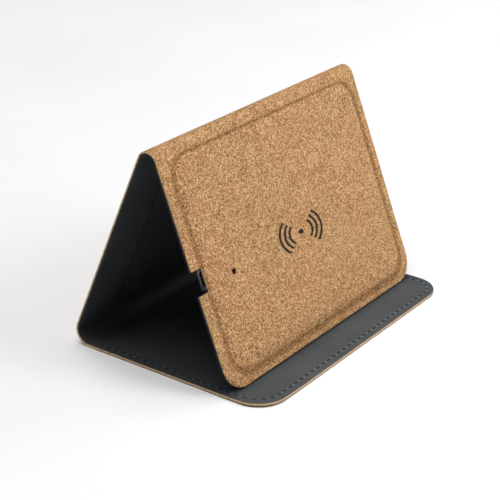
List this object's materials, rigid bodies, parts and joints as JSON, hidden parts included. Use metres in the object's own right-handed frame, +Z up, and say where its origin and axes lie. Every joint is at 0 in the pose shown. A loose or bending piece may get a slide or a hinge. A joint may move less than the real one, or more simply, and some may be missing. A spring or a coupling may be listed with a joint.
{
  "type": "folding wireless charging pad",
  "caption": "Folding cork-covered wireless charging pad set up as a tent-shaped phone stand, with a raised charging panel, a side socket in a notch and a stitched, lined base.",
  "frame": {"origin": "centre of the stand's footprint, on the surface it stands on", "axes": "+X along the folds, from the socket side to the other side; -Y is the side the phone leans on; +Z up"},
  "size_m": [0.17, 0.1214, 0.1175],
  "materials": {
    "cork": "matte",
    "board": "matte",
    "lining": "satin",
    "thread": "matte",
    "foam": "matte",
    "black_plastic": "satin",
    "smoked_plastic": "gloss",
    "circuit_board": "satin",
    "ferrite": "matte",
    "copper": "satin",
    "steel": "satin",
    "nickel": "gloss",
    "chip": "matte",
    "capacitor": "matte",
    "led": "gloss"
  },
  "bodies": {
    "base": {"base_cork_skin": "cork", "base_stiffener_board": "board", "base_lining": "lining", "base_edge_stitching": "thread", "base_keeper_plate_1": "steel", "base_keeper_plate_2": "steel", "rear_fold_cork": "cork", "rear_fold_lining": "lining"},
    "back_panel": {"back_cork_skin": "cork", "back_stiffener_board": "board", "back_lining": "lining", "apex_fold_cork": "cork", "apex_fold_lining": "lining"},
    "charging_panel": {"front_cork_skin": "cork", "front_stiffener_board": "board", "front_lining": "lining", "foam_frame": "foam", "charger_tray": "black_plastic", "charger_cover": "black_plastic", "circuit_board": "circuit_board", "ferrite_sheet": "ferrite", "transmit_coil": "copper", "coil_lead_inner": "copper", "coil_lead_outer": "copper", "usb_socket_shell": "nickel", "usb_socket_tongue": "black_plastic", "status_led": "led", "light_pipe": "smoked_plastic", "controller_chip": "chip", "driver_chip": "chip", "input_capacitor": "capacitor", "resonant_capacitor_1": "capacitor", "resonant_capacitor_2": "capacitor", "resonant_capacitor_3": "capacitor", "resonant_capacitor_4": "capacitor", "edge_magnet_1": "nickel", "edge_magnet_2": "nickel"}
  },
  "joints": [
    {"name": "rear_fold", "type": "hinge", "parent": "base", "child": "back_panel", "pos_m": [0, 0.05461, 0.00687], "axis": [-1, 0, 0], "range_deg": [0, 113.9], "deforming": ["rear_fold_cork", "rear_fold_lining"]},
    {"name": "apex_fold", "type": "hinge", "parent": "back_panel", "child": "charging_panel", "pos_m": [0, 0.00917, 0.11407], "axis": [-1, 0, 0], "range_deg": [0, 134.5], "deforming": ["apex_fold_cork", "apex_fold_lining"]}
  ]
}
